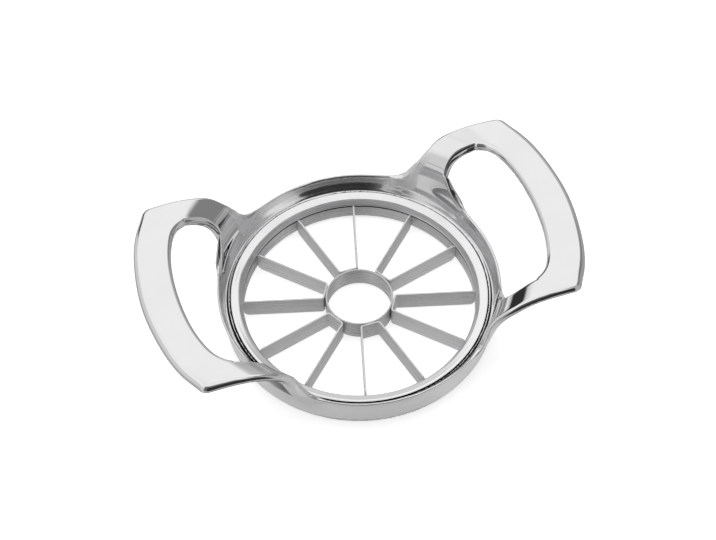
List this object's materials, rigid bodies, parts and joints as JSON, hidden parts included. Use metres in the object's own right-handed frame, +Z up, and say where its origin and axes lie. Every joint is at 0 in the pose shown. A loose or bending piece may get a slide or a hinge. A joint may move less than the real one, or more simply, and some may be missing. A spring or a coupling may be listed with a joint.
{
  "type": "wedge cutter for fruit",
  "caption": "Push-down fruit wedge cutter: chromed ring with raised loop handles around a star of steel blades and a round core cutter.",
  "frame": {"origin": "on the ring's axis, at the level of the lower cutting edges that it rests on", "axes": "+Z up along the ring's axis, +X through the middles of the two handles, +Y across them"},
  "size_m": [0.1696, 0.11, 0.0412],
  "materials": {
    "polished_casting": "bright polished chrome plate over a casting",
    "polished_bead": "bright polished ring set into the casting",
    "brushed_band": "satin stainless strip, brushed around the bore",
    "brushed_core": "satin stainless tube",
    "brushed_blades": "satin stainless strip with bright ground edges"
  },
  "bodies": {
    "root": {"handle_frame": "polished_casting", "bead_ring": "polished_bead", "blade_band": "brushed_band", "core_ring": "brushed_core", "blade_strip_1": "brushed_blades", "blade_strip_2": "brushed_blades", "blade_strip_3": "brushed_blades", "blade_strip_4": "brushed_blades", "blade_strip_5": "brushed_blades", "blade_strip_6": "brushed_blades"}
  },
  "joints": []
}
